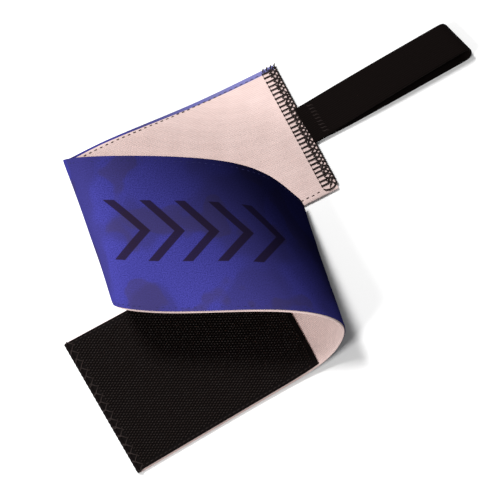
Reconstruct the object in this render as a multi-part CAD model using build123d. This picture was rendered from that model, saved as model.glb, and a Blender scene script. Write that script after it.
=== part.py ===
from build123d import *
import math
import os

# A hand wrap: a wide elastic strap with a printed outer face and a white inner face, a hook
# panel at one end and a thumb loop overlocked to the other. It lies loosely folded in three
# legs on a surface: the lead leg (seam end), the middle leg arching over it, and the tail leg
# (hook end). Millimetres, +Z up, the surface at Z = 0.

# ---- cloth and tape thicknesses
OUTER_THICKNESS = 0.6
WEBBING_THICKNESS = 1.3
STRAP_THICKNESS = OUTER_THICKNESS + WEBBING_THICKNESS
HOOK_BACKING_THICKNESS = 0.7
HOOK_HEIGHT = 0.9
BAND_THICKNESS = 1.2
CLEARANCE = 0.03

# ---- lengths along the strap
STRAP_WIDTH = 75.0
HOOK_PANEL_LENGTH = 100.0
HOOK_PANEL_INSET = 1.0
HOOK_ROW_PITCH = 1.5
HOOK_ROW_WIDTH = 0.5
HOOK_ROW_INSET = 3.4
STITCH_PITCH = 3.0
STITCH_LENGTH = 1.7
STITCH_WIDTH = 0.45
STITCH_HEIGHT = 0.3
STITCH_INSET = 2.0
TAPE_STITCH_PITCH = 2.5
FOLD_GAP = 0.4

# ---- overlocked end seam
LADDER_BARS = 28
LADDER_INNER = 7.0
LADDER_OUTER = 3.6
THREAD = 0.6
THREAD_HEIGHT = 0.4
EDGE_WRAP = 0.5

# ---- thumb loop
BAND_WIDTH = 20.0
BAND_LENGTH = 92.0
BAND_HEADING = 31.5
LOOP_FAR_RADIUS = 6.6
LOOP_ROOT_RADIUS = 1.5
LOOP_HINGE_OFFSET = 2.0
LOOP_HINGE_HEIGHT = 1.0
ANCHOR_DEPTH = 8.0

# ---- how the strap lies
# The folds are parallel to one line on the surface. Each station gives where the upper and the
# lower long edge pass: across that line, then height. The strap also creeps along the line by
# a share of its own length, which differs from leg to leg.
FOLD_LINE_ANGLE = -69.8
UPPER_EDGE_START = -82.5
LOWER_EDGE_START = -11.0
LEAD_CREEP = 0.13
MIDDLE_CREEP = 0.341
TAIL_CREEP = 0.17
CENTRE_X = 14.06
CENTRE_Y = 3.35
STATIONS = [
    ((45, 0), (53, 0)),
    ((22, 0), (30, 0)),
    ((0, 0), (7, 0)),
    ((-52, 14), (-45, 4)),
    ((-70, 9), (-63, -6)),
    ((-71, 55), (-76, 44)),
    ((-31, 51), (-50, 37)),
    ((14, 46), (4, 47)),
    ((30, 10), (30, 32)),
    ((36, 1), (26, 15)),
    ((19, 0), (17, 2)),
    ((-10, 0), (-10, 0)),
    ((-54, 0), (-48, 0)),
    ((-98, 0), (-85, 0)),
]
CREEPS = ([LEAD_CREEP] * 4 + [(LEAD_CREEP + MIDDLE_CREEP) / 2] + [MIDDLE_CREEP] * 4
          + [(MIDDLE_CREEP + TAIL_CREEP) / 2] + [TAIL_CREEP] * 3)
DEGREE = 3
LAST_U = len(STATIONS) - DEGREE
KNOTS = [0] * DEGREE + list(range(LAST_U + 1)) + [LAST_U] * DEGREE
LIFT = OUTER_THICKNESS + 0.06
SAMPLES_PER_SPAN = 8
LENGTH_STEPS = 600

ALONG_FOLD = Vector(math.cos(math.radians(FOLD_LINE_ANGLE)), math.sin(math.radians(FOLD_LINE_ANGLE)), 0)
ACROSS_FOLD = Vector(-ALONG_FOLD.Y, ALONG_FOLD.X, 0)
CENTRE = Vector(CENTRE_X, CENTRE_Y, 0)


def station_advances():
    """How far along the fold line the strap has crept at each station."""
    advances = [0.0]
    for here, there, creep in zip(STATIONS, STATIONS[1:], CREEPS):
        run = sum(math.dist(a, b) for a, b in zip(here, there)) / 2
        advances.append(advances[-1] + creep * run / math.sqrt(1 - creep * creep))
    return advances


ADVANCES = station_advances()


# ---- the strap's surface, between its printed face and its webbing
def weight(i, degree, u):
    """B-spline weight of station i at parameter u."""
    if degree == 0:
        at_end = u >= LAST_U and KNOTS[i] < KNOTS[i + 1] == LAST_U
        return 1.0 if KNOTS[i] <= u < KNOTS[i + 1] or at_end else 0.0
    left_span = KNOTS[i + degree] - KNOTS[i]
    right_span = KNOTS[i + degree + 1] - KNOTS[i + 1]
    left = (u - KNOTS[i]) / left_span * weight(i, degree - 1, u) if left_span else 0.0
    right = (KNOTS[i + degree + 1] - u) / right_span * weight(i + 1, degree - 1, u) if right_span else 0.0
    return left + right


def edge_point(side, u):
    """Point of the upper (0) or lower (1) long edge at parameter u."""
    start = LOWER_EDGE_START if side else UPPER_EDGE_START
    point = Vector(0, 0, LIFT) - CENTRE
    for i, station in enumerate(STATIONS):
        share = weight(i, DEGREE, u)
        if share:
            across, height = station[side]
            along = start + ADVANCES[i]
            point += (ACROSS_FOLD * across + ALONG_FOLD * along + Vector(0, 0, height)) * share
    return point


def strap_point(u, w):
    """Point at parameter u, w from 0 on the upper edge to 1 on the lower edge."""
    return edge_point(0, u) * (1 - w) + edge_point(1, u) * w


def strap_heading(u, w):
    step = 0.01
    before, after = max(u - step, 0), min(u + step, LAST_U)
    return (strap_point(after, w) - strap_point(before, w)).normalized()


def inner_normal(u, w):
    """Unit normal on the white inner face's side."""
    across = edge_point(1, u) - edge_point(0, u)
    return across.cross(strap_heading(u, w)).normalized() * -1


def parameter_at(w, length, from_end=False):
    """Parameter u at a length along the strap, from the seam end or from the hook end."""
    step = LAST_U / LENGTH_STEPS
    order = [LAST_U - k * step if from_end else k * step for k in range(LENGTH_STEPS + 1)]
    travelled = 0.0
    previous = strap_point(order[0], w)
    for k, u in enumerate(order[1:], 1):
        here = strap_point(u, w)
        gap = (here - previous).length
        if travelled + gap >= length:
            return order[k - 1] + (u - order[k - 1]) * (length - travelled) / gap
        travelled += gap
        previous = here
    return order[-1]


def fold_parameter(low, high, side):
    """Parameter where the strap reaches furthest across: side -1 is the left fold, 1 the right."""
    steps = 200
    tries = [low + (high - low) * k / steps for k in range(steps + 1)]
    return max(tries, key=lambda u: side * strap_point(u, 0.5).dot(ACROSS_FOLD))


def strap_length(first, last):
    steps = 60
    points = [strap_point(first + (last - first) * k / steps, 0.5) for k in range(steps + 1)]
    return sum((b - a).length for a, b in zip(points, points[1:]))


LEFT_FOLD = fold_parameter(2, 6, -1)
RIGHT_FOLD = fold_parameter(5, LAST_U - 2, 1)
GAP_U = FOLD_GAP * 0.1 / strap_length(LEFT_FOLD - 0.05, LEFT_FOLD + 0.05)
LEGS = {
    "lead": (0.0, LEFT_FOLD - GAP_U / 2),
    "middle": (LEFT_FOLD + GAP_U / 2, RIGHT_FOLD - GAP_U / 2),
    "tail": (RIGHT_FOLD + GAP_U / 2, LAST_U),
}


# ---- solids laid on that surface
def ruled_face(first, last, offset=0.0):
    """Face between two long lines, each a list of (u, w), lifted along the inner normal."""
    lines = []
    for line in (first, last):
        lines.append([strap_point(u, w) + inner_normal(u, w) * offset for u, w in line])
    steps = [k / (len(first) - 1) for k in range(len(first))]
    edges = [Edge.make_spline(points, parameters=steps) for points in lines]
    return Face.make_surface_from_curves(edges[0], edges[1])


def layer(first, last, bottom, top):
    """Solid between two heights over the strap's surface; heights grow to the inner face."""
    face = ruled_face(first, last, bottom)
    u, w = first[len(first) // 2][0], 0.5
    return Solid.thicken(face, top - bottom, normal_override=inner_normal(u, w))


def leg_line(leg, w):
    begin, end = LEGS[leg]
    count = max(int((end - begin) * SAMPLES_PER_SPAN), 12)
    return [(begin + (end - begin) * k / count, w) for k in range(count + 1)]


def peg(u, w, length, width, height, lift, turn=0.0):
    """Small block lying on a face: lift is its foot's height, negative on the outer face."""
    normal = inner_normal(u, w) * (1 if lift > 0 else -1)
    spot = strap_point(u, w) + inner_normal(u, w) * lift + normal * (height / 2)
    place = Plane(origin=spot, x_dir=strap_heading(u, w), z_dir=normal).rotated((0, 0, turn))
    return place * Box(length, width, height)


def edge_stitches(leg, lift):
    """One row of straight stitches beside each long edge of a leg."""
    begin, end = LEGS[leg]
    stitches = []
    seam_share = (LADDER_INNER + 3) / strap_length(begin, end) if leg == "lead" else 0
    for w in (STITCH_INSET / STRAP_WIDTH, 1 - STITCH_INSET / STRAP_WIDTH):
        count = int(strap_length(begin, end) / STITCH_PITCH)
        for k in range(1 + int(seam_share * count), count - 1):
            u = begin + (end - begin) * k / count
            stitches.append(peg(u, w, STITCH_LENGTH, STITCH_WIDTH, STITCH_HEIGHT, lift))
    return stitches


def save(name, solids):
    solids = solids if isinstance(solids, list) else [solids]
    shape = solids[0] if len(solids) == 1 else Compound(children=solids)
    export_step(shape, f"parts/{name}.step")


# ---- local frames at the two ends
def end_frame(u, outward):
    """Plane at an end of the strap: x runs out of the strap, y across it, z up."""
    upper, lower = edge_point(0, u), edge_point(1, u)
    middle = (upper + lower) * 0.5
    out = (upper - lower).cross(Vector(0, 0, 1)).normalized()
    out *= outward * math.copysign(1, out.dot(strap_heading(u, 0.5)))
    return Plane(origin=(middle.X, middle.Y, 0), x_dir=out, z_dir=(0, 0, 1))


SEAM = end_frame(0, -1)
HOOK_END = end_frame(LAST_U, 1)
SEAM_WIDTH = (edge_point(0, 0) - edge_point(1, 0)).length
TAIL_WIDTH = (edge_point(0, LAST_U) - edge_point(1, LAST_U)).length
INNER_FACE = LIFT + WEBBING_THICKNESS


def block(frame, x, y, z, size):
    """Box centred on x, y and standing on z in an end frame."""
    return frame * Pos(x, y, z + size[2] / 2) * Box(*size)


# ---- strap layers and their stitches
def strap_layers():
    for leg in LEGS:
        upper, lower = leg_line(leg, 0.0), leg_line(leg, 1.0)
        webbing = layer(upper, lower, 0.0, WEBBING_THICKNESS)
        outer = layer(upper, lower, 0.0, -OUTER_THICKNESS)
        if leg == "lead":
            webbing -= anchor_tab(CLEARANCE)
        save(f"{leg}_inner_webbing", webbing)
        save(f"{leg}_printed_face", outer)


def strap_stitches():
    inner = WEBBING_THICKNESS + CLEARANCE
    outer = -OUTER_THICKNESS - CLEARANCE
    save("lead_edge_stitches", edge_stitches("lead", inner))
    save("middle_edge_stitches", edge_stitches("middle", outer))


# ---- hook panel
def tail_line(w, first, last):
    steps = 20
    lengths = [first + (last - first) * k / steps for k in range(steps + 1)]
    return [(parameter_at(w, length, from_end=True), w) for length in lengths]


def hook_panel():
    inset = HOOK_PANEL_INSET / STRAP_WIDTH
    foot = WEBBING_THICKNESS + CLEARANCE
    panel = [tail_line(w, HOOK_PANEL_INSET, HOOK_PANEL_LENGTH) for w in (inset, 1 - inset)]
    save("hook_tape_backing", layer(panel[0], panel[1], foot, foot + HOOK_BACKING_THICKNESS))
    foot += HOOK_BACKING_THICKNESS + CLEARANCE
    inset = HOOK_ROW_INSET / STRAP_WIDTH
    field = [tail_line(w, HOOK_PANEL_INSET, HOOK_PANEL_LENGTH) for w in (inset, 1 - inset)]
    nap = layer(field[0], field[1], foot, foot + HOOK_HEIGHT)
    rows = []
    for k in range(int((HOOK_PANEL_LENGTH - 7) / HOOK_ROW_PITCH)):
        x = -5 - k * HOOK_ROW_PITCH
        row = nap & block(HOOK_END, x, 0, 0, (HOOK_ROW_WIDTH, 2 * TAIL_WIDTH, 20))
        rows += row.solids()
    save("hook_rows", rows)


def hook_panel_stitches():
    lift = WEBBING_THICKNESS + HOOK_BACKING_THICKNESS + 2 * CLEARANCE
    inset = (HOOK_PANEL_INSET + 1.0) / STRAP_WIDTH
    stitches = []
    count = int((HOOK_PANEL_LENGTH - 6) / TAPE_STITCH_PITCH)
    for w in (inset, 1 - inset):
        for k in range(count):
            u = parameter_at(w, 4 + k * TAPE_STITCH_PITCH, from_end=True)
            stitches.append(peg(u, w, STITCH_LENGTH, STITCH_WIDTH, STITCH_HEIGHT, lift))
    save("hook_tape_stitches", stitches)


def hook_end_overcast():
    """Thread bars wrapped over the raw end of the hook tape and strap."""
    top = INNER_FACE + HOOK_BACKING_THICKNESS + 2 * CLEARANCE
    count = int(TAIL_WIDTH / TAPE_STITCH_PITCH)
    bars = []
    for k in range(count):
        y = (k + 0.5) / count * (TAIL_WIDTH - 2) - (TAIL_WIDTH - 2) / 2
        over = block(HOOK_END, -0.8, y, top, (3.6, THREAD, THREAD_HEIGHT))
        down = block(HOOK_END, 0.7, y, LIFT, (THREAD, THREAD, top + THREAD_HEIGHT - LIFT))
        bars.append(over + down)
    save("hook_end_overcast_threads", bars)


# ---- overlocked seam and thumb loop
def overlock_seam():
    top = INNER_FACE + CLEARANCE
    usable = SEAM_WIDTH - 5
    ladder, loops, needle = [], [], []
    for k in range(LADDER_BARS):
        y = (k + 0.5) / LADDER_BARS * usable - usable / 2 - 1.0
        length = LADDER_INNER - LADDER_OUTER
        ladder.append(block(SEAM, -(LADDER_INNER + LADDER_OUTER) / 2, y, top,
                            (length, THREAD, THREAD_HEIGHT)))
        slant = 35 if k % 2 else -35
        foot = SEAM * Pos(-LADDER_OUTER / 2, y, top + THREAD_HEIGHT / 2) * Rot(0, 0, slant)
        loops.append(foot * Box(LADDER_OUTER - 0.8, THREAD, THREAD_HEIGHT))
        needle.append(block(SEAM, -LADDER_INNER - THREAD, y, top, (THREAD, 1.6, THREAD_HEIGHT)))
    save("overlock_ladder_threads", ladder)
    save("overlock_looper_threads", loops)
    save("overlock_needle_threads", needle)
    wrap_height = top + THREAD_HEIGHT - LIFT
    wrap = block(SEAM, CLEARANCE + EDGE_WRAP / 2, 0, LIFT, (EDGE_WRAP, SEAM_WIDTH - 1, wrap_height))
    save("overlock_edge_wrap", wrap)
    corner = block(SEAM, -LADDER_INNER / 2, usable / 2 + 0.6, top, (LADDER_INNER - 1, THREAD, THREAD_HEIGHT))
    save("overlock_closing_stitch", corner)


def anchor_tab(grow=0.0):
    """Sewn-in ends of the thumb loop, held in a pocket of the webbing at the seam."""
    size = (ANCHOR_DEPTH + 2 * grow, BAND_WIDTH + 2 * grow, OUTER_THICKNESS + grow)
    return block(SEAM, -ANCHOR_DEPTH / 2, 0, LIFT + CLEARANCE - grow, size)


def loop_frame():
    """Frame at the thumb loop's hinge line: x runs out along the loop."""
    origin = SEAM.from_local_coords(Vector(LOOP_HINGE_OFFSET, 0, 0))
    heading = Vector(math.cos(math.radians(BAND_HEADING)), math.sin(math.radians(BAND_HEADING)), 0)
    return Plane(origin=origin, x_dir=heading, z_dir=(0, 0, 1))


def thumb_loop():
    """Elastic band doubled into a slim teardrop, its two layers joined at the root."""
    far_x = BAND_LENGTH - LOOP_FAR_RADIUS
    root_x = 3.5

    def teardrop(shrink):
        far = Pos(far_x, LOOP_FAR_RADIUS) * Circle(LOOP_FAR_RADIUS - shrink)
        near = Pos(root_x, LOOP_ROOT_RADIUS) * Circle(LOOP_ROOT_RADIUS - shrink)
        return make_hull(far.edges() + near.edges())

    tongue = Pos(root_x / 2 + 0.3, LOOP_HINGE_HEIGHT) * Rectangle(root_x, 0.7)
    profile = teardrop(0) + tongue - teardrop(BAND_THICKNESS)
    upright = Plane(origin=(0, BAND_WIDTH / 2, 0), x_dir=(1, 0, 0), z_dir=(0, -1, 0))
    band = extrude(upright * profile, amount=BAND_WIDTH)
    frame = loop_frame()
    save("thumb_loop_band", frame * band)
    tacks = []
    for k in range(7):
        y = (k - 3) * 2.4
        tacks.append(block(frame, root_x + 3.4, y, 2 * LOOP_ROOT_RADIUS + 0.9, (4.0, THREAD, THREAD_HEIGHT)))
    save("thumb_loop_bartack", tacks)


os.makedirs("parts", exist_ok=True)
strap_layers()
strap_stitches()
hook_panel()
hook_panel_stitches()
hook_end_overcast()
overlock_seam()
save("thumb_loop_anchor", anchor_tab())
thumb_loop()
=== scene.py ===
import math
import random

import bpy
import numpy as np
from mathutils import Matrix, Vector


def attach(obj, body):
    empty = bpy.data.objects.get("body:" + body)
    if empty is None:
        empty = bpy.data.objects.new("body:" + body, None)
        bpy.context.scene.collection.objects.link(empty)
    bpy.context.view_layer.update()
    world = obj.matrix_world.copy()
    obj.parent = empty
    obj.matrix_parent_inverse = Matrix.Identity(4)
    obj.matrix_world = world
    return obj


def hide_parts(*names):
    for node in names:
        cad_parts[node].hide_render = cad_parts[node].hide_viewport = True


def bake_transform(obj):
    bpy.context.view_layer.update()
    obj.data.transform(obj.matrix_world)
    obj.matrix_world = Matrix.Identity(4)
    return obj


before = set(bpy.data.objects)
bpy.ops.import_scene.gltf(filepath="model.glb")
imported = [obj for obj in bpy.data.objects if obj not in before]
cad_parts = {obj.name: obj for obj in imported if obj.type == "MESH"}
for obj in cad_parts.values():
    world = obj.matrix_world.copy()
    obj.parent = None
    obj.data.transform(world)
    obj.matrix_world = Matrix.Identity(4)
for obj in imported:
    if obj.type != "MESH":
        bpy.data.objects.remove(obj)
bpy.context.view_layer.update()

# Lengths in this script are millimetres until a mesh is made; MM turns them into metres.
MM = 0.001
RNG = random.Random(11)

# ---- the strap, as part.py draws it
OUTER_THICKNESS, WEBBING_THICKNESS = 0.6, 1.3
STRAP_WIDTH, MEAN_WIDTH = 75.0, 72.5  # nominal, and as it lies
HOOK_BACKING_THICKNESS = 0.7
HOOK_PANEL_LENGTH = 100.0
FOLD_LINE_ANGLE = -69.8
UPPER_EDGE_START, LOWER_EDGE_START = -82.5, -11.0
LEAD_CREEP, MIDDLE_CREEP, TAIL_CREEP = 0.13, 0.341, 0.17
CENTRE = np.array([14.06, 3.35, 0.0])
STATIONS = [
    ((45, 0), (53, 0)), ((22, 0), (30, 0)), ((0, 0), (7, 0)), ((-52, 14), (-45, 4)),
    ((-70, 9), (-63, -6)), ((-71, 55), (-76, 44)), ((-31, 51), (-50, 37)), ((14, 46), (4, 47)),
    ((30, 10), (30, 32)), ((36, 1), (26, 15)), ((19, 0), (17, 2)), ((-10, 0), (-10, 0)),
    ((-54, 0), (-48, 0)), ((-98, 0), (-85, 0)),
]
CREEPS = ([LEAD_CREEP] * 4 + [(LEAD_CREEP + MIDDLE_CREEP) / 2] + [MIDDLE_CREEP] * 4
          + [(MIDDLE_CREEP + TAIL_CREEP) / 2] + [TAIL_CREEP] * 3)
DEGREE = 3
LAST_U = len(STATIONS) - DEGREE
KNOTS = [0] * DEGREE + list(range(LAST_U + 1)) + [LAST_U] * DEGREE
LIFT = OUTER_THICKNESS + 0.06
MID_U = 5.6  # where the front and the back half of the strap's mesh meet, on the middle leg
RIB_PITCH, RIB_DEPTH = 0.9, 0.2
LAYER_GAP = 0.03
WEBBING_ROWS, PRINTED_ROWS = 190, 260

FOLD_RAD = math.radians(FOLD_LINE_ANGLE)
ALONG_FOLD = np.array([math.cos(FOLD_RAD), math.sin(FOLD_RAD), 0.0])
ACROSS_FOLD = np.array([-ALONG_FOLD[1], ALONG_FOLD[0], 0.0])


def station_points():
    points, advance = [[], []], 0.0
    for i, station in enumerate(STATIONS):
        if i:
            run = sum(math.dist(a, b) for a, b in zip(STATIONS[i - 1], station)) / 2
            advance += CREEPS[i - 1] * run / math.sqrt(1 - CREEPS[i - 1] ** 2)
        for side, start in enumerate((UPPER_EDGE_START, LOWER_EDGE_START)):
            across, height = station[side]
            points[side].append(ACROSS_FOLD * across + ALONG_FOLD * (start + advance)
                                + np.array([0, 0, height + LIFT]) - CENTRE)
    return np.array(points)


EDGES = station_points()


def weights(u):
    """B-spline weights of all stations at each parameter in the array u."""
    u = np.clip(np.asarray(u, float), 0, LAST_U - 1e-9)
    level = [((u >= KNOTS[i]) & (u < KNOTS[i + 1])).astype(float) for i in range(len(KNOTS) - 1)]
    for degree in range(1, DEGREE + 1):
        nxt = []
        for i in range(len(level) - 1):
            total = np.zeros_like(u)
            if KNOTS[i + degree] > KNOTS[i]:
                total += (u - KNOTS[i]) / (KNOTS[i + degree] - KNOTS[i]) * level[i]
            if KNOTS[i + degree + 1] > KNOTS[i + 1]:
                span = KNOTS[i + degree + 1] - KNOTS[i + 1]
                total += (KNOTS[i + degree + 1] - u) / span * level[i + 1]
            nxt.append(total)
        level = nxt
    return np.array(level).T


def lie(u, w, height=0.0):
    """Points on the strap at parameters u and w, raised towards the pale inner face."""
    u, w, height = np.broadcast_arrays(np.asarray(u, float), np.asarray(w, float), height)
    step = 0.01
    now, before, after = (weights((u + d).ravel()) for d in (0, -step, step))
    upper, lower = now @ EDGES[0], now @ EDGES[1]
    share = w.ravel()[:, None]
    heading = (after - before) @ EDGES[0] * (1 - share) + (after - before) @ EDGES[1] * share
    normal = -np.cross(lower - upper, heading)
    normal /= np.linalg.norm(normal, axis=1)[:, None]
    point = upper * (1 - share) + lower * share + normal * height.ravel()[:, None]
    return point.reshape(u.shape + (3,))


TABLE_U = np.linspace(0, LAST_U, 1101)


def run_table(w):
    gaps = np.linalg.norm(np.diff(lie(TABLE_U, w), axis=0), axis=1)
    return np.concatenate([[0], np.cumsum(gaps)])


CENTRE_RUN = run_table(0.5)
STRAP_LENGTH = CENTRE_RUN[-1]


def run_at(u):
    return np.interp(u, TABLE_U, CENTRE_RUN)


def u_at(run):
    return np.interp(run, CENTRE_RUN, TABLE_U)


def u_from_hook_end(w, distance):
    runs = run_table(w)
    return np.interp(runs[-1] - distance, runs, TABLE_U)


# ---- mesh helpers
def make_object(name, verts, faces, lay=None):
    mesh = bpy.data.meshes.new(name)
    mesh.from_pydata((np.asarray(verts) * MM).tolist(), [], faces)
    if lay is not None:
        store = mesh.attributes.new("lay", "FLOAT_VECTOR", "POINT")
        store.data.foreach_set("vector", np.asarray(lay, np.float32).ravel())
    mesh.validate()
    mesh.update()
    mesh.shade_smooth()
    mesh.set_sharp_from_angle(angle=math.radians(50))
    obj = bpy.data.objects.new(name, mesh)
    bpy.context.scene.collection.objects.link(obj)
    return obj


def slab(name, top, bottom, lay):
    """Closed sheet between two equal grids of points."""
    rows, cols = top.shape[:2]
    verts = np.concatenate([top.reshape(-1, 3), bottom.reshape(-1, 3)])
    index = np.arange(rows * cols).reshape(rows, cols)
    a, b, c, d = index[:-1, :-1], index[:-1, 1:], index[1:, 1:], index[1:, :-1]
    upper = np.stack([a, b, c, d], -1).reshape(-1, 4)
    under = np.stack([d, c, b, a], -1).reshape(-1, 4) + rows * cols
    rim = np.concatenate([index[0, :], index[1:, -1], index[-1, -2::-1], index[-2:0:-1, 0]])
    after = np.roll(rim, -1)
    sides = np.stack([after, rim, rim + rows * cols, after + rows * cols], -1)
    faces = np.concatenate([upper, under, sides]).tolist()
    return make_object(name, verts, faces, np.concatenate([lay, lay]).reshape(-1, 3))


def threads(name, paths, radius, sides=6):
    """Tapered round threads along short paths, as one mesh."""
    verts, faces, lay = [], [], []
    for path in paths:
        path = np.asarray(path, float)
        first = len(verts)
        run = 0.0
        for k, point in enumerate(path):
            ahead = path[min(k + 1, len(path) - 1)] - path[max(k - 1, 0)]
            ahead /= np.linalg.norm(ahead)
            side = np.cross(ahead, [0.13, 0.21, 0.97])
            side /= np.linalg.norm(side)
            up = np.cross(side, ahead)
            run += np.linalg.norm(point - path[k - 1]) if k else 0.0
            size = radius * (0.55 if k in (0, len(path) - 1) else 1.0)
            for j in range(sides):
                angle = 2 * math.pi * j / sides
                verts.append(point + (side * math.cos(angle) + up * math.sin(angle)) * size)
                lay.append((run, j / sides, 0))
        for k in range(len(path) - 1):
            for j in range(sides):
                a, b = first + k * sides + j, first + k * sides + (j + 1) % sides
                faces.append((a, b, b + sides, a + sides))
        faces.append(tuple(first + j for j in reversed(range(sides))))
        faces.append(tuple(first + (len(path) - 1) * sides + j for j in range(sides)))
    return make_object(name, verts, faces, lay)


# ---- materials
class Nodes:
    """Small wrapper that adds shader nodes and links them."""

    def __init__(self, name, **surface):
        self.material = bpy.data.materials.new(name)
        self.material.use_nodes = True
        self.tree = self.material.node_tree
        self.shader = self.tree.nodes["Principled BSDF"]
        for socket, value in surface.items():
            self.shader.inputs[socket.replace("_", " ")].default_value = value

    def add(self, kind, inputs=(), **settings):
        node = self.tree.nodes.new(kind)
        for key, value in settings.items():
            setattr(node, key, value)
        for key, value in dict(inputs).items():
            if isinstance(value, bpy.types.NodeSocket):
                self.tree.links.new(value, node.inputs[key])
            else:
                node.inputs[key].default_value = value
        return node

    def math(self, operation, *values):
        node = self.add("ShaderNodeMath", dict(enumerate(values)), operation=operation)
        return node.outputs[0]

    def lay(self):
        store = self.add("ShaderNodeAttribute", attribute_name="lay")
        split = self.add("ShaderNodeSeparateXYZ", {0: store.outputs["Vector"]})
        return store.outputs["Vector"], split.outputs[0], split.outputs[1]

    def noise(self, vector, scale, detail=3.0, rough=0.55):
        node = self.add("ShaderNodeTexNoise",
                        {"Vector": vector, "Scale": scale, "Detail": detail, "Roughness": rough})
        return node.outputs["Fac"]

    def wave(self, value, pitch, phase=0.0):
        """0 to 1 cosine of a length with the given pitch."""
        angle = self.math("MULTIPLY_ADD", value, 2 * math.pi / pitch, phase)
        return self.math("MULTIPLY_ADD", self.math("COSINE", angle), 0.5, 0.5)

    def step(self, value, low, high, to_low=0.0, to_high=1.0):
        node = self.add("ShaderNodeMapRange",
                        {0: value, 1: low, 2: high, 3: to_low, 4: to_high},
                        interpolation_type="SMOOTHSTEP")
        return node.outputs[0]

    def mix(self, factor, first, second):
        node = self.add("ShaderNodeMix", data_type="RGBA")
        for key, value in ((0, factor), (6, first), (7, second)):
            if isinstance(value, bpy.types.NodeSocket):
                self.tree.links.new(value, node.inputs[key])
            else:
                node.inputs[key].default_value = (*value, 1) if key else value
        return node.outputs[2]

    def finish(self, colour, height, strength, distance, roughness=None):
        self.tree.links.new(colour, self.shader.inputs["Base Color"])
        bump = self.add("ShaderNodeBump",
                        {"Strength": strength, "Distance": distance, "Height": height})
        self.tree.links.new(bump.outputs[0], self.shader.inputs["Normal"])
        if roughness is not None:
            self.tree.links.new(roughness, self.shader.inputs["Roughness"])
        return self.material


def webbing_material():
    n = Nodes("pale_ribbed_webbing", Sheen_Weight=0.05, Sheen_Roughness=0.6,
              Specular_IOR_Level=0.2)
    vector, run, across = n.lay()
    groove = n.wave(across, RIB_PITCH)
    pick = n.wave(n.math("ADD", run, n.math("MULTIPLY", across, 0.5)), 0.75)
    cloud = n.noise(vector, 0.06)
    fibre = n.noise(vector, 2.2, 4.0)
    base = n.mix(n.step(cloud, 0.3, 0.7), (0.68, 0.525, 0.495), (0.74, 0.58, 0.55))
    # painted shade: the colour darkens in the rib grooves
    base = n.mix(n.math("MULTIPLY", groove, 0.5), base, (0.50, 0.36, 0.33))
    base = n.mix(n.math("MULTIPLY", fibre, 0.16), base, (0.62, 0.48, 0.45))
    relief = n.math("ADD", n.math("MULTIPLY", groove, -0.6), n.math("MULTIPLY", pick, 0.25))
    relief = n.math("ADD", relief, n.math("MULTIPLY", fibre, 0.35))
    return n.finish(base, relief, 0.55, 0.0002, n.step(fibre, 0.2, 0.8, 0.72, 0.92))


def printed_material():
    n = Nodes("printed_blue_knit", Sheen_Weight=0.0, Sheen_Roughness=0.45,
              Specular_IOR_Level=0.0)
    vector, run, across = n.lay()
    stitch_row = n.wave(n.math("ADD", across, n.math("MULTIPLY", run, 0.12)), 0.8)
    stitch_loop = n.wave(run, 0.65, 0.8)
    fibre = n.noise(vector, 1.9, 4.0, 0.75)
    # printed camouflage patches
    patch = n.noise(vector, 0.024, 1.5, 0.5)
    small = n.noise(vector, 0.05, 1.5, 0.5)
    base = n.mix(n.step(fibre, 0.35, 0.65), (0.026, 0.025, 0.155), (0.056, 0.052, 0.300))
    base = n.mix(n.step(patch, 0.48, 0.54, 0, 0.5), base, (0.033, 0.028, 0.110))
    base = n.mix(n.step(small, 0.56, 0.61, 0, 0.45), base, (0.042, 0.032, 0.078))
    # the print is paler along the upper edge beside the seam
    paler_upper_edge = n.math("MULTIPLY", n.step(across, 3.4, 2.2), n.step(run, 95, 10))
    base = n.mix(n.math("MULTIPLY", paler_upper_edge, 0.8), base, (0.20, 0.20, 0.42))
    # a plain row of chevrons
    from_middle = n.math("ABSOLUTE", n.math("SUBTRACT", across, 35.0))
    slant = n.math("ADD", run, from_middle)
    in_row = n.math("MODULO", n.math("ADD", slant, 4.0), 16.0)
    bar = n.math("MULTIPLY", n.step(in_row, 0.0, 0.6), n.step(in_row, 5.6, 5.0))
    inside = n.math("MULTIPLY", n.step(slant, 171.8, 172.0), n.step(slant, 242.2, 242))
    inside = n.math("MULTIPLY", inside, n.step(from_middle, 14.4, 14.0))
    mark = n.math("MULTIPLY", n.math("MULTIPLY", bar, inside), 0.9)
    base = n.mix(mark, base, (0.016, 0.009, 0.018))
    # painted shade: the colour darkens towards the upper part of the right fold, where the fold turns
    # away from the light
    painted_shade_line = n.math("ADD", run, n.math("MULTIPLY", across, -1.1))
    painted_shade = n.math("MULTIPLY", n.step(painted_shade_line, 105, 232), n.step(painted_shade_line, 330, 275))
    base = n.mix(n.math("MULTIPLY", painted_shade, 0.93), base, (0.0012, 0.0014, 0.0075))
    relief = n.math("ADD", n.math("MULTIPLY", stitch_row, 0.5), n.math("MULTIPLY", stitch_loop, 0.3))
    relief = n.math("ADD", relief, n.math("MULTIPLY", fibre, 0.3))
    return n.finish(base, relief, 0.4, 0.00015, n.step(fibre, 0.2, 0.8, 0.55, 0.8))


def elastic_material():
    n = Nodes("black_elastic", Sheen_Weight=0.0, Sheen_Roughness=0.5, Specular_IOR_Level=0.02)
    vector, run, across = n.lay()
    rib = n.wave(across, 1.0)
    pick = n.wave(n.math("ADD", run, n.math("MULTIPLY", across, 0.6)), 0.8)
    fibre = n.noise(vector, 2.0, 4.0)
    base = n.mix(fibre, (0.0030, 0.0020, 0.0018), (0.0065, 0.0042, 0.0038))
    # painted shade: the colour darkens in the rib grooves
    base = n.mix(n.math("MULTIPLY", rib, 0.5), base, (0.0015, 0.0011, 0.0010))
    relief = n.math("ADD", n.math("MULTIPLY", rib, -0.6), n.math("MULTIPLY", pick, 0.4))
    return n.finish(base, relief, 0.6, 0.0002, n.step(fibre, 0.2, 0.8, 0.6, 0.85))


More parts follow.
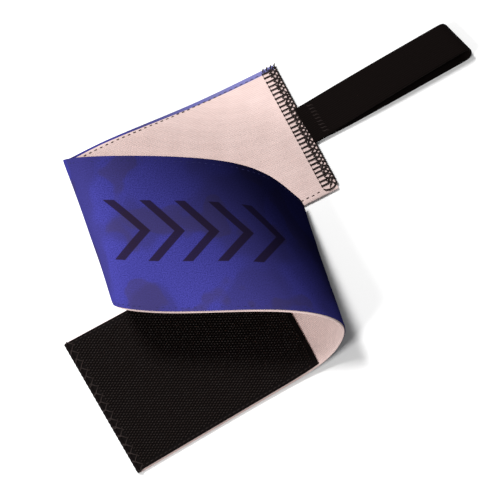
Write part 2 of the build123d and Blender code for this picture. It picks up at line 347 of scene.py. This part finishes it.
def thread_material(name, dark, light):
    n = Nodes(name, Sheen_Weight=0.0, Specular_IOR_Level=0.15)
    vector, run, around = n.lay()
    twist = n.wave(n.math("ADD", run, n.math("MULTIPLY", around, 0.5)), 0.5)
    fibre = n.noise(vector, 4.0)
    # painted shade and highlight: the thread is lighter on the twist crests and darker between them
    base = n.mix(twist, dark, light)
    relief = n.math("ADD", twist, n.math("MULTIPLY", fibre, 0.4))
    return n.finish(base, relief, 0.5, 0.0001, n.step(fibre, 0.2, 0.8, 0.5, 0.8))


def hook_material(name, dark, light, gloss):
    n = Nodes(name, Specular_IOR_Level=gloss)
    vector, run, across = n.lay()
    cell = n.noise(vector, 0.8, 2.0)
    weave = n.wave(n.math("ADD", run, across), 0.6)
    base = n.mix(cell, dark, light)
    base = n.mix(n.math("MULTIPLY", weave, 0.3), base, (0.003, 0.002, 0.002))
    return n.finish(base, weave, 0.3, 0.0001, n.step(cell, 0.2, 0.8, 0.42, 0.62))


def floor_material():
    n = Nodes("pale_floor", Specular_IOR_Level=0.1)
    place = n.add("ShaderNodeTexCoord").outputs["Object"]
    cloud = n.noise(place, 3.0)
    base = n.mix(cloud, (0.90, 0.90, 0.90), (0.915, 0.915, 0.912))
    return n.finish(base, n.noise(place, 400.0), 0.02, 0.0001)


WEBBING, PRINTED, ELASTIC = webbing_material(), printed_material(), elastic_material()
THREAD = thread_material("black_thread", (0.008, 0.005, 0.0045), (0.026, 0.017, 0.015))
BROWN_THREAD = thread_material("brown_thread", (0.02, 0.012, 0.01), (0.07, 0.045, 0.04))
BLUE_THREAD = thread_material("dark_blue_thread", (0.010, 0.010, 0.05), (0.02, 0.02, 0.10))
HOOK_TAPE = hook_material("black_hook_tape", (0.0025, 0.0018, 0.0018), (0.0055, 0.0038, 0.0036), 0.02)
# painted highlight: the black hooks are given a paler colour than the backing, standing in for their lit
# tops
HOOK = hook_material("black_hook_nylon", (0.009, 0.0055, 0.0045), (0.034, 0.022, 0.018), 0.12)


# ---- fold points of the strap's two halves, listed with the legs on each side
def point_at_fold(u, offset, direction):
    place = lie(u, 0.5) + np.asarray(direction) * offset
    return tuple(place * MM)


LEFT_FOLD, RIGHT_FOLD = 3.62, 7.6
UPWARDS, DOWNWARDS = (0, 0, 1), (0, -0.23, -0.97)
HALVES = {
    "front": ("lead_leg", "middle_leg", point_at_fold(LEFT_FOLD, -11, UPWARDS),
              point_at_fold(LEFT_FOLD, 11, UPWARDS)),
    "back": ("middle_leg", "tail_leg", point_at_fold(RIGHT_FOLD, -10, DOWNWARDS),
             point_at_fold(RIGHT_FOLD, 6, DOWNWARDS)),
}


def dress(obj, material, nodes=(), half=None, body=None):
    obj.data.materials.append(material)
    if nodes:
        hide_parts(*nodes)
    if half:
        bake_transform(obj)
    else:
        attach(obj, body)
    return obj


# ---- strap layers
def ease(value, low, high):
    x = np.clip((value - low) / (high - low), 0, 1)
    return x * x * (3 - 2 * x)


def cloth_layer(name, first, last, w_low, w_high, base, top, ribs, rows):
    """One layer of the strap from u first to last; ribs are raised on its top surface."""
    u = np.linspace(first, last, rows)
    count = int((w_high - w_low) * STRAP_WIDTH / RIB_PITCH) if ribs else 50
    w = np.linspace(w_low, w_high, count * (3 if ribs else 1) + 1)
    uu, ww = np.meshgrid(u, w, indexing="ij")
    if ribs:
        ww = ww + (0.024 * (1 - ease(uu, 0, 2.2)) - 0.012 * ease(uu, 7.5, 9.5)) * (1 - ww)
    else:
        ww = ww + 0.022 * ease(uu, 7.5, 9.5) * (1 - ww)
    across = ww * STRAP_WIDTH * 0.975
    run = run_at(uu)
    edge = np.minimum(ww - w_low, w_high - ww) * STRAP_WIDTH
    rounding = 1 - 0.55 * (1 - ease(edge, 0, 0.9))
    wave = 0.05 * np.sin(run * 0.21 + across * 0.13) + 0.04 * np.sin(run * 0.47 - across * 0.31)
    height = top + (wave * np.sign(top) if not ribs else wave)
    if ribs:
        height = height - RIB_DEPTH * (0.5 + 0.5 * np.cos(2 * math.pi * across / RIB_PITCH))
    middle = (top + base) / 2
    upper = lie(uu, ww, middle + (height - middle) * rounding)
    under = lie(uu, ww, middle + (base - middle) * rounding)
    lay = np.stack([run, across, np.zeros_like(run)], -1)
    return slab(name, upper, under, lay)


WEBBING_SPAN, PRINTED_SPAN = (0.016, 1.0), (0.0, 0.99)  # shares of the width that each covers
for half, (first, last) in {"front": (0.0, MID_U), "back": (MID_U, LAST_U)}.items():
    legs = ("lead", "middle") if half == "front" else ("tail",)
    inner = cloth_layer(f"strap_webbing_{half}", first, last, *WEBBING_SPAN, LAYER_GAP,
                        WEBBING_THICKNESS, True, WEBBING_ROWS)
    outer = cloth_layer(f"strap_printed_face_{half}", first, last, *PRINTED_SPAN, 0.0,
                        -OUTER_THICKNESS, False, PRINTED_ROWS)
    outer.data.flip_normals()
    dress(inner, WEBBING, [f"{leg}_inner_webbing" for leg in legs], half)
    dress(outer, PRINTED, [f"{leg}_printed_face" for leg in legs], half)


# ---- straight stitches beside the long edges
STITCH_PITCH, STITCH_INSET = 3.0, 2.4


def stitch_rows(first, last, surface, side):
    """Short threads that dip into the cloth at both ends."""
    paths = []
    for w in (STITCH_INSET / STRAP_WIDTH, 1 - STITCH_INSET / STRAP_WIDTH):
        for k in range(int((last - first) / STITCH_PITCH)):
            begin = first + k * STITCH_PITCH
            runs = begin + np.array([0, 0.3, 0.8, 1.3, 1.6])
            lift = surface + side * np.array([-0.35, 0.12, 0.2, 0.12, -0.35])
            sway = RNG.uniform(-0.12, 0.12) / STRAP_WIDTH
            paths.append(lie(u_at(runs), np.full(5, w + sway), lift))
    return paths


SEAM_WIDTH = 7.2
mid_run = float(run_at(MID_U))
inner_top = WEBBING_THICKNESS - 0.05
front_paths = stitch_rows(SEAM_WIDTH + 2, mid_run, inner_top, 1)
dress(threads("edge_stitches_front", front_paths, 0.19), BROWN_THREAD,
      ["lead_edge_stitches"], "front")
front_paths = stitch_rows(SEAM_WIDTH + 2, mid_run, -OUTER_THICKNESS + 0.12, -0.3)
dress(threads("face_stitches_front", front_paths, 0.15), BLUE_THREAD,
      ["middle_edge_stitches"], "front")
back_paths = stitch_rows(mid_run, float(run_at(RIGHT_FOLD)) - 8, inner_top, 1)
dress(threads("edge_stitches_back", back_paths, 0.19), BROWN_THREAD, (), "back")
back_paths = stitch_rows(mid_run, STRAP_LENGTH - 4, -OUTER_THICKNESS + 0.12, -0.3)
dress(threads("face_stitches_back", back_paths, 0.15), BLUE_THREAD, (), "back")


# ---- hook panel
PANEL_INSET = 0.7


def panel_points(distances, shares, height):
    """Points of the panel: distances from the hook end, shares across it, raised to height."""
    w_low = PANEL_INSET / STRAP_WIDTH
    w_high = 1 - w_low
    left, right = u_from_hook_end(w_low, distances), u_from_hook_end(w_high, distances)
    uu = left[:, None] * (1 - shares) + right[:, None] * shares
    ww = np.broadcast_to(w_low + (w_high - w_low) * shares, uu.shape)
    return lie(uu, ww, height)


panel_floor = WEBBING_THICKNESS - 0.06
panel_top = WEBBING_THICKNESS + HOOK_BACKING_THICKNESS - 0.1
distances = np.linspace(0.8, HOOK_PANEL_LENGTH, 90)
shares = np.linspace(0, 1, 60)
far, near = np.meshgrid(distances, shares, indexing="ij")
panel_lay = np.stack([far, near * STRAP_WIDTH, np.zeros_like(far)], -1)
backing = slab("hook_tape", panel_points(distances, shares, panel_top),
               panel_points(distances, shares, panel_floor), panel_lay)
backing.data.flip_normals()
dress(backing, HOOK_TAPE, ["hook_tape_backing"], "back")

HOOK_PITCH_ALONG, HOOK_PITCH_ACROSS = 1.25, 1.45
hook_paths = []
for row in range(int((HOOK_PANEL_LENGTH - 5) / HOOK_PITCH_ALONG)):
    distance = 3.2 + row * HOOK_PITCH_ALONG
    count = int((STRAP_WIDTH - 8) / HOOK_PITCH_ACROSS)
    offset = 0.25 if row % 2 else -0.25
    places = (np.arange(count) + 0.5 + offset) / count * 0.93 + 0.035
    foot = panel_points(np.array([distance]), places, panel_top - 0.1)[0]
    neck = panel_points(np.array([distance + 0.1]), places, panel_top + 0.65)[0]
    bend = panel_points(np.array([distance + 0.45]), places, panel_top + 0.85)[0]
    tip = panel_points(np.array([distance + 0.8]), places, panel_top + 0.55)[0]
    for path in zip(foot, neck, bend, tip):
        lean = np.array([RNG.uniform(-0.12, 0.12), RNG.uniform(-0.12, 0.12), 0])
        hook_paths.append([path[0], path[1] + lean * 0.5, path[2] + lean, path[3] + lean])
dress(threads("hooks", hook_paths, 0.24, 4), HOOK, ["hook_rows"], "back")

TAPE_STITCH_PITCH = 2.5
panel_stitches = []
for share in (0.018, 0.982):
    for k in range(int((HOOK_PANEL_LENGTH - 4) / TAPE_STITCH_PITCH)):
        spots = 2.0 + k * TAPE_STITCH_PITCH + np.array([0, 0.4, 1.3, 1.7])
        lift = np.array([-0.2, 0.18, 0.18, -0.2]) + panel_top
        panel_stitches.append([panel_points(np.array([spot]), np.array([share]), rise)[0, 0]
                               for spot, rise in zip(spots, lift)])
dress(threads("hook_tape_stitches", panel_stitches, 0.2), THREAD,
      ["hook_tape_stitches"], "back")

OVERCAST_BARS, BEAD_STEPS, BEAD_RADIUS = 30, 120, 1.2
FLAT = np.array([1, 1, 0])
overcast = []
for k in range(OVERCAST_BARS):
    share = (k + 0.5 + RNG.uniform(-0.12, 0.12)) / OVERCAST_BARS
    slant = 0.6 / OVERCAST_BARS * (1 if k % 2 else -1)
    over = [(3.4, share - slant, panel_top + 0.05), (1.8, share, panel_top + 0.35),
            (0.6, share + slant, panel_top + 0.3)]
    path = [panel_points(np.array([back]), np.array([aside]), rise)[0, 0] for back, aside, rise in over]
    edge = lie(np.array([LAST_U]), np.array([0.02 + 0.96 * (share + slant)]), 0.4)[0]
    outward = (edge - path[-1]) * FLAT
    outward /= np.linalg.norm(outward)
    path.append(edge + outward * 0.7 + np.array([0, 0, 0.9]))
    path.append(edge + outward * 0.65 - np.array([0, 0, 0.4]))
    overcast.append(path)
# a wavy bead of thread along the raw end
bead = [lie(LAST_U, 0.005 + 0.99 * k / BEAD_STEPS, 0.62)
        + outward * (-0.25 + 0.16 * math.sin(k * 1.57)) for k in range(BEAD_STEPS + 1)]
dress(threads("hook_end_edge", [bead], BEAD_RADIUS, 10), HOOK_TAPE, (), body="tail_leg")
dress(threads("hook_end_overcast", overcast, 0.3), THREAD,
      ["hook_end_overcast_threads"], body="tail_leg")


# ---- overlocked seam
SEAM_UPPER, SEAM_LOWER = lie(0.0, 0.0), lie(0.0, 1.0)
SEAM_Y = (SEAM_UPPER - SEAM_LOWER) * FLAT
SEAM_LENGTH = float(np.linalg.norm(SEAM_Y))
SEAM_Y /= SEAM_LENGTH
SEAM_X = np.array([SEAM_Y[1], -SEAM_Y[0], 0])
SEAM_MIDDLE = (SEAM_UPPER + SEAM_LOWER) / 2 * FLAT


def seam(x, y, z):
    """Point x out of the strap's end, y up along the seam, z above the surface."""
    return SEAM_MIDDLE + SEAM_X * x + SEAM_Y * y + np.array([0, 0, z])


CLOTH_TOP = LIFT + WEBBING_THICKNESS
LADDER_BARS, LADDER_START, LADDER_END = 28, -7.0, -3.5
seam_span = SEAM_LENGTH - 4.5
seam_low = -SEAM_LENGTH / 2 + 3.0
ladder, needle, looper, wraps = [], [], [], []
for k in range(LADDER_BARS):
    y = seam_low + (k + 0.5) * seam_span / LADDER_BARS + RNG.uniform(-0.15, 0.15)
    pitch = seam_span / LADDER_BARS
    ladder.append([seam(LADDER_START, y, CLOTH_TOP - 0.3), seam(LADDER_START + 0.5, y, CLOTH_TOP + 0.25),
                   seam(-5.2, y + RNG.uniform(-0.1, 0.1), CLOTH_TOP + 0.4),
                   seam(LADDER_END, y, CLOTH_TOP + 0.35),
                   seam(LADDER_END + 1.2, y + 0.4, CLOTH_TOP + 0.1)])
    needle.append([seam(LADDER_START + 0.1, y - pitch * 0.42, CLOTH_TOP - 0.2),
                   seam(LADDER_START - 0.1, y, CLOTH_TOP + 0.2),
                   seam(LADDER_START + 0.1, y + pitch * 0.42, CLOTH_TOP - 0.2)])
    for way in (-1, 1):
        shift = RNG.uniform(0.35, 0.95) * pitch * way
        sag = RNG.uniform(0.0, 0.3)
        looper.append([seam(-3.9 + sag, y - shift, CLOTH_TOP + 0.1),
                       seam(-2.6, y - shift * 0.4, CLOTH_TOP + 0.45 + sag),
                       seam(-1.3, y + shift * 0.3, CLOTH_TOP + 0.5),
                       seam(-0.1, y + shift, CLOTH_TOP + 0.25)])
        wraps.append([seam(-1.2, y + shift, CLOTH_TOP + 0.35), seam(0.35, y + shift * 0.8, CLOTH_TOP),
                      seam(0.75, y + shift * 0.5, CLOTH_TOP * 0.55), seam(0.3, y + shift * 0.2, 0.42)])
edge_bead = [seam(0.25 + 0.12 * math.sin(k * 1.9), seam_low + k * seam_span / 80,
                  1.25 + 0.12 * math.sin(k * 2.7)) for k in range(81)]
closing = [seam(LADDER_START, seam_low - 0.3, CLOTH_TOP), seam(-6.3, seam_low - 1.3, CLOTH_TOP + 0.35),
           seam(-4.5, seam_low - 1.9, CLOTH_TOP + 0.4), seam(-2.2, seam_low - 1.8, CLOTH_TOP + 0.4),
           seam(-0.4, seam_low - 0.9, CLOTH_TOP + 0.2), seam(0.4, seam_low - 0.2, CLOTH_TOP - 0.6)]
top_y = seam_low + seam_span
# heavier stitches that close the upper corner
heavy = [[seam(-6.5 + 2.1 * k, top_y - 0.6, CLOTH_TOP + 0.2),
          seam(-5.9 + 2.1 * k, top_y + 0.6, CLOTH_TOP + 0.4),
          seam(-5.2 + 2.1 * k, top_y + 1.5, CLOTH_TOP)] for k in range(4)]
for name, paths, radius, nodes in (
        ("overlock_ladder", ladder, 0.44, ["overlock_ladder_threads"]),
        ("overlock_needle_line", needle, 0.34, ["overlock_needle_threads"]),
        ("overlock_looper", looper, 0.34, ["overlock_looper_threads"]),
        ("overlock_edge", [edge_bead] + wraps, 0.5, ["overlock_edge_wrap"]),
        ("overlock_closing_stitch", [closing] + heavy, 0.42, ["overlock_closing_stitch"])):
    dress(threads(name, paths, radius), THREAD, nodes, body="lead_leg")


# ---- thumb loop: one elastic band that runs out, turns at a slanted fold and comes back below
BAND_WIDTH, BAND_THICKNESS, BAND_LENGTH = 20.0, 1.2, 92.0
LOOP_HEADING = math.radians(30.9)
LOOP_X = np.array([math.cos(LOOP_HEADING), math.sin(LOOP_HEADING), 0])
LOOP_Y = np.array([-LOOP_X[1], LOOP_X[0], 0])
LOOP_ROOT = seam(2.0, 0, 0)
FAR_RADIUS, ROOT_X = 4.0, 5.0


def loop_path():
    """Centre line of the band: x along the loop, z, and how far the lower layer has slid aside."""
    far_x = BAND_LENGTH - FAR_RADIUS - 5.0
    out = [(-3.0, 1.9, 0.0), (0.0, 2.3, 0.0), (ROOT_X, 2.75, 0.0)]
    for k in range(1, 26):
        share = k / 26
        sag = 0.9 * math.sin(math.pi * share)
        out.append((ROOT_X + (far_x - ROOT_X) * share,
                    2.75 + (2 * FAR_RADIUS + 0.6 - 2.75) * share ** 1.05 + sag, 0.0))
    for k in range(19):
        angle = math.pi / 2 - math.pi * k / 18
        out.append((far_x + FAR_RADIUS * math.cos(angle), 0.6 + FAR_RADIUS * (1 + math.sin(angle)),
                    -2.4 * ease(np.array(k / 18), 0.1, 0.9)))
    for k in range(1, 27):
        share = 1 - k / 26
        out.append((ROOT_X + (far_x - ROOT_X) * share, 0.6 + 0.1 * (1 - share), -2.4 * share ** 0.6))
    out.append((0.0, 0.75, 0.0))
    out.append((-3.0, 1.2, 0.0))
    return np.array([[float(v) for v in p] for p in out])


def band_grid():
    line = loop_path()
    gaps = np.linalg.norm(np.diff(line[:, :2], axis=0), axis=1)
    runs = np.concatenate([[0], np.cumsum(gaps)])
    even = np.linspace(0, runs[-1], 200)
    x, z, slide = (np.interp(even, runs, line[:, i]) for i in range(3))
    kernel = np.ones(5) / 5
    for values in (x, z, slide):
        padded = np.convolve(np.pad(values, 2, mode="edge"), kernel, mode="valid")
        values[:] = padded
    dx, dz = np.gradient(x), np.gradient(z)
    size = np.hypot(dx, dz)
    y = np.linspace(-BAND_WIDTH / 2, BAND_WIDTH / 2, 61)
    xx, yy = np.meshgrid(x, y, indexing="ij")
    yy = yy * (1 - 0.08 * ease(xx, 0, BAND_LENGTH))
    turn = ease(even, runs[-1] * 0.3, runs[-1] * 0.5) * ease(-even, -runs[-1] * 0.72, -runs[-1] * 0.5)
    slant = turn[:, None] * yy * -0.2
    edge = BAND_WIDTH / 2 - np.abs(np.broadcast_to(y, yy.shape))
    rounding = 1 - 0.5 * (1 - ease(edge, 0, 0.8))
    rib = 0.1 * (0.5 + 0.5 * np.cos(2 * math.pi * yy / 1.0))
    half_up = (BAND_THICKNESS / 2 - rib) * rounding
    half_down = BAND_THICKNESS / 2 * rounding
    normal_x, normal_z = (-dz / size)[:, None], (dx / size)[:, None]

    def place(offset):
        px = xx + slant + normal_x * offset
        pz = z[:, None] + normal_z * offset
        py = yy + slide[:, None]
        return (LOOP_ROOT + px[..., None] * LOOP_X + py[..., None] * LOOP_Y
                + pz[..., None] * np.array([0, 0, 1]))

    lay = np.stack([np.broadcast_to(even[:, None], yy.shape), yy, np.zeros_like(yy)], -1)
    return place(half_up), place(-half_down), lay, runs[-1]


band_top, band_bottom, band_lay, band_run = band_grid()
band = slab("thumb_loop", band_top, band_bottom, band_lay)
band.data.flip_normals()
band.data.materials.append(ELASTIC)
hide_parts("thumb_loop_band", "thumb_loop_anchor")
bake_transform(band)

tacks = []
for k in range(9):
    y = (k - 4) * 1.9
    base = LOOP_ROOT + LOOP_X * 5.0 + LOOP_Y * y + np.array([0, 0, 3.35])
    tacks.append([base - LOOP_X * 1.4 + LOOP_Y * 0.7 - np.array([0, 0, 0.35]), base - LOOP_X * 0.6,
                  base + LOOP_X * 0.7, base + LOOP_X * 1.5 - LOOP_Y * 0.7])
dress(threads("thumb_loop_bartack", tacks, 0.26), THREAD,
      ["thumb_loop_bartack"], body="thumb_loop")


# ---- floor, light and camera
FLOOR_SIZE, SKY_STRENGTH = 12, 0.2
bpy.ops.mesh.primitive_plane_add(size=FLOOR_SIZE)
floor = bpy.context.object
floor.name = "floor"
floor.data.materials.append(floor_material())

bpy.context.scene.view_settings.view_transform = "Standard"
world = bpy.data.worlds.new("studio")
bpy.context.scene.world = world
world.use_nodes = True
world.node_tree.nodes["Background"].inputs["Color"].default_value = (1, 1, 1, 1)
world.node_tree.nodes["Background"].inputs["Strength"].default_value = SKY_STRENGTH


def area_light(name, place, size, power):
    data = bpy.data.lights.new(name, "AREA")
    data.size = size
    data.energy = power
    light = bpy.data.objects.new(name, data)
    bpy.context.scene.collection.objects.link(light)
    light.location = place
    light.rotation_euler = (Vector((0, 0, 0.02)) - light.location).to_track_quat("-Z", "Y").to_euler()


area_light("key", (-0.85, -0.7, 1.0), 0.4, 15)
area_light("fill", (-0.6, 0.5, 1.25), 0.35, 23)

CAMERA_ELEVATION, CAMERA_DISTANCE, FOCAL_RATIO = math.radians(75), 0.9, 2.05
IMAGE_SIZE, SENSOR = 490, 36.0
camera_data = bpy.data.cameras.new("camera")
camera_data.sensor_width = SENSOR
camera_data.lens = FOCAL_RATIO * CAMERA_DISTANCE / MM / IMAGE_SIZE * SENSOR
camera = bpy.data.objects.new("camera", camera_data)
bpy.context.scene.collection.objects.link(camera)
target = Vector(-CENTRE * MM)
away = Vector((0, -math.cos(CAMERA_ELEVATION), math.sin(CAMERA_ELEVATION)))
camera.location = target + away * CAMERA_DISTANCE
camera.rotation_euler = (-away).to_track_quat("-Z", "Y").to_euler()
bpy.context.scene.camera = camera
